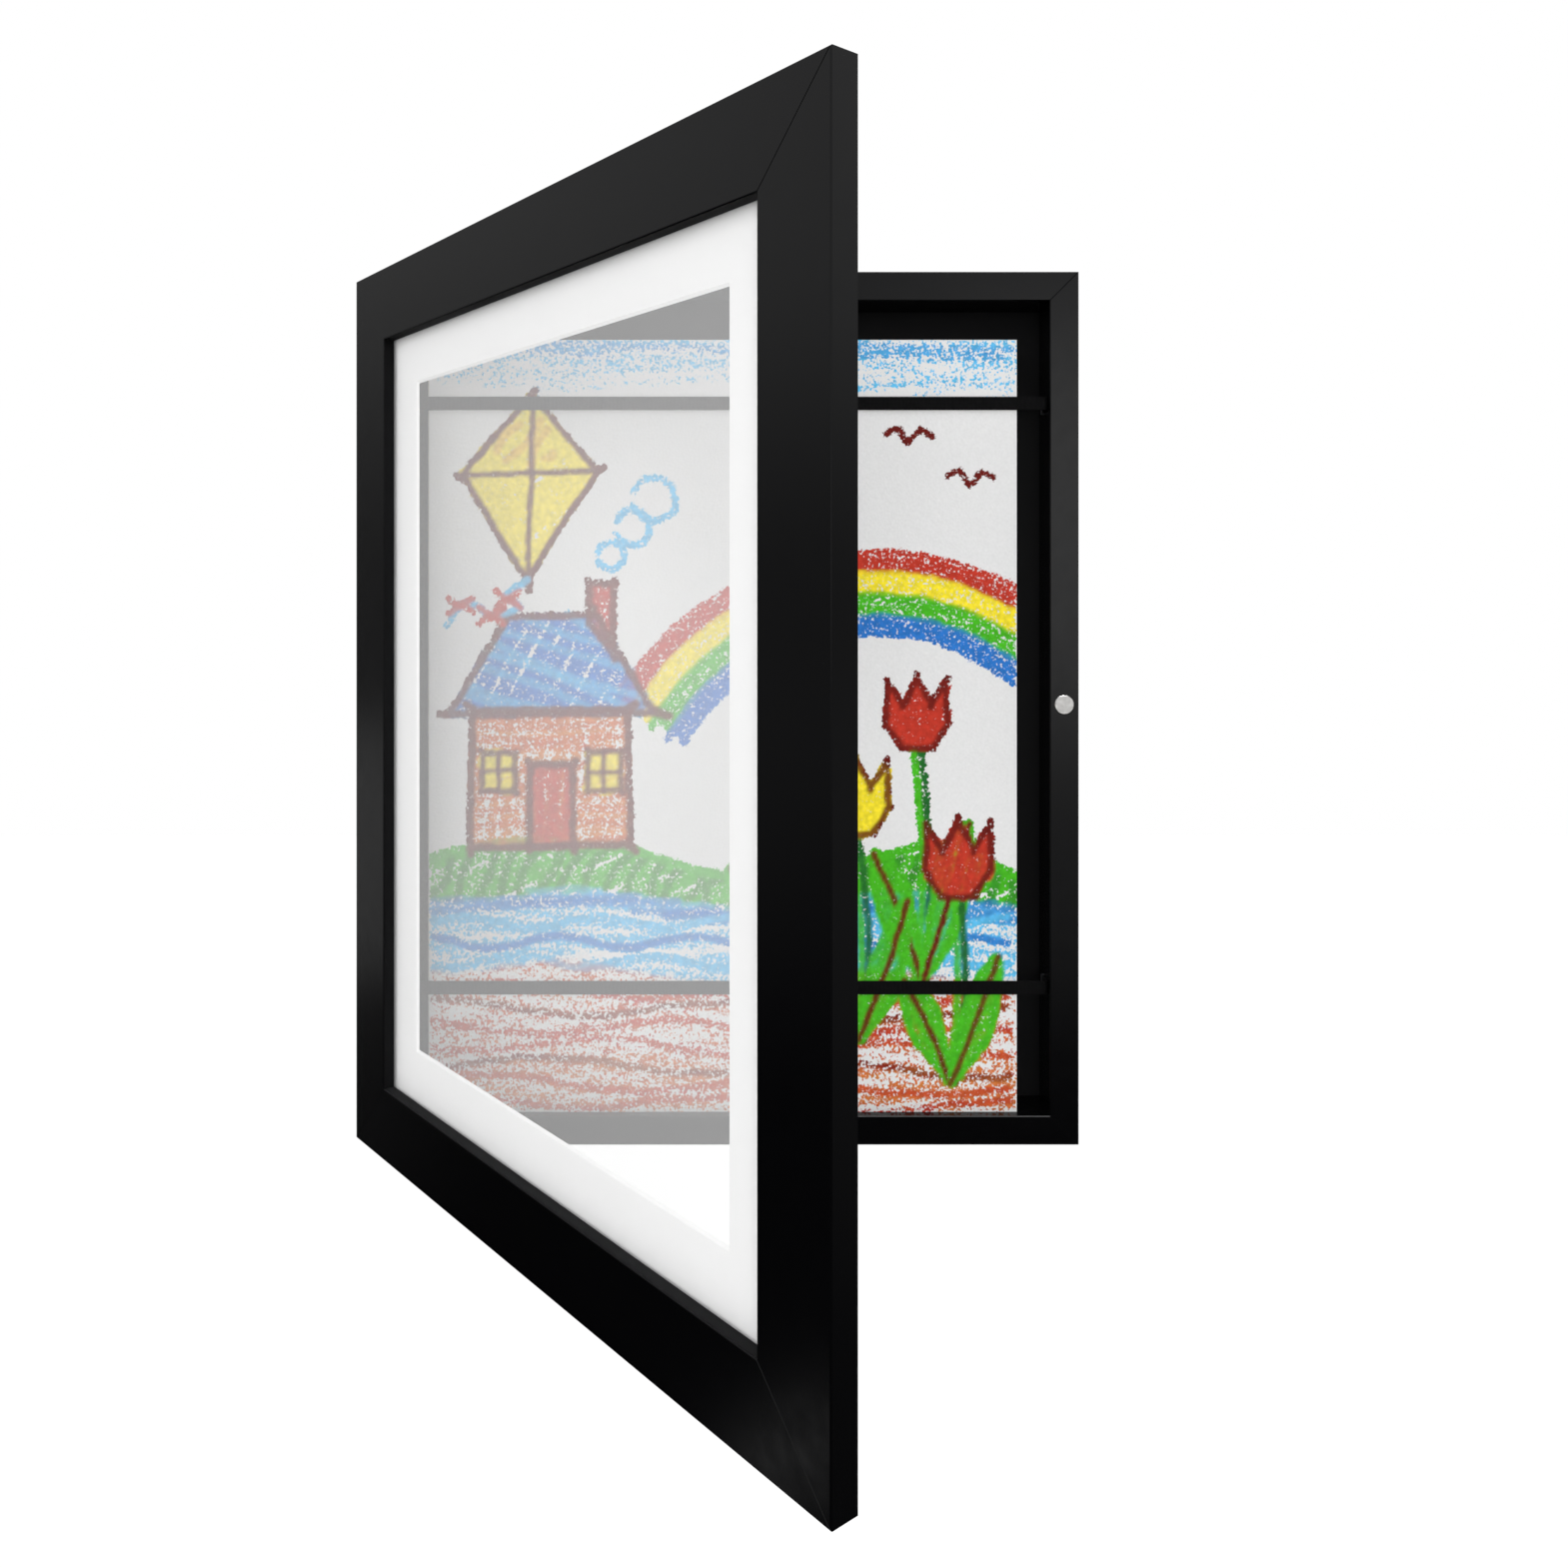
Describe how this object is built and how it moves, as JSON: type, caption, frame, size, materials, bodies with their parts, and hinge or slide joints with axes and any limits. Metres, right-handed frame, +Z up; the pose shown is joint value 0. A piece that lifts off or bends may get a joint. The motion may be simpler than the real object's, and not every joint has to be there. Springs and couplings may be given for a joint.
{
  "type": "childrens art frame",
  "caption": "Wall frame for children's drawings: a shallow storage box with elastic bands behind a hinged, matted and glazed door with a magnet catch.",
  "frame": {"origin": "notch of the upright hanger on the wall plane, where a wall nail carries the frame", "axes": "+Z up, +Y into the wall, the front looks along -Y, +X to the right seen from the front"},
  "size_m": [0.297, 0.2564, 0.362],
  "materials": {
    "black_lacquered_wood": "satin black lacquer",
    "black_faced_hardboard": "pressed board, black face inwards, bare brown behind",
    "drawing_paper": "matt white drawing paper",
    "stacked_paper": "stack of sheets seen on edge",
    "black_elastic": "woven flat elastic",
    "white_mat_board": "smooth white board, bevel cut",
    "clear_acrylic": "clear polished sheet",
    "nickel_plated_magnet": "bright nickel",
    "blackened_steel": "satin black",
    "zinc_plated_steel": "bright zinc"
  },
  "bodies": {
    "box": {"box_top_rail": "black_lacquered_wood", "box_bottom_rail": "black_lacquered_wood", "box_hinge_stile": "black_lacquered_wood", "box_latch_stile": "black_lacquered_wood", "box_corner_nails": "zinc_plated_steel", "back_panel": "black_faced_hardboard", "back_panel_points": "zinc_plated_steel", "portrait_hanger": "zinc_plated_steel", "landscape_hanger": "zinc_plated_steel", "box_magnet": "nickel_plated_magnet", "front_drawing": "drawing_paper", "stored_drawings": "stacked_paper", "upper_elastic_band": "black_elastic", "lower_elastic_band": "black_elastic", "elastic_band_staples": "blackened_steel", "upper_hinge_box_leaf": "blackened_steel", "lower_hinge_box_leaf": "blackened_steel", "hinge_box_screws": "zinc_plated_steel", "upper_hinge_pin": "blackened_steel", "lower_hinge_pin": "blackened_steel"},
    "door": {"door_top_rail": "black_lacquered_wood", "door_bottom_rail": "black_lacquered_wood", "door_hinge_stile": "black_lacquered_wood", "door_latch_stile": "black_lacquered_wood", "door_corner_nails": "zinc_plated_steel", "glazing_sheet": "clear_acrylic", "mat_board": "white_mat_board", "glazing_points": "zinc_plated_steel", "strike_disc": "zinc_plated_steel", "upper_hinge_door_leaf": "blackened_steel", "lower_hinge_door_leaf": "blackened_steel", "hinge_door_screws": "zinc_plated_steel"}
  },
  "joints": [
    {"name": "door_swing", "type": "hinge", "parent": "box", "child": "door", "pos_m": [-0.1455, -0.0285, -0.161], "axis": [0, 0, -1], "range_deg": [-50, 130]}
  ]
}
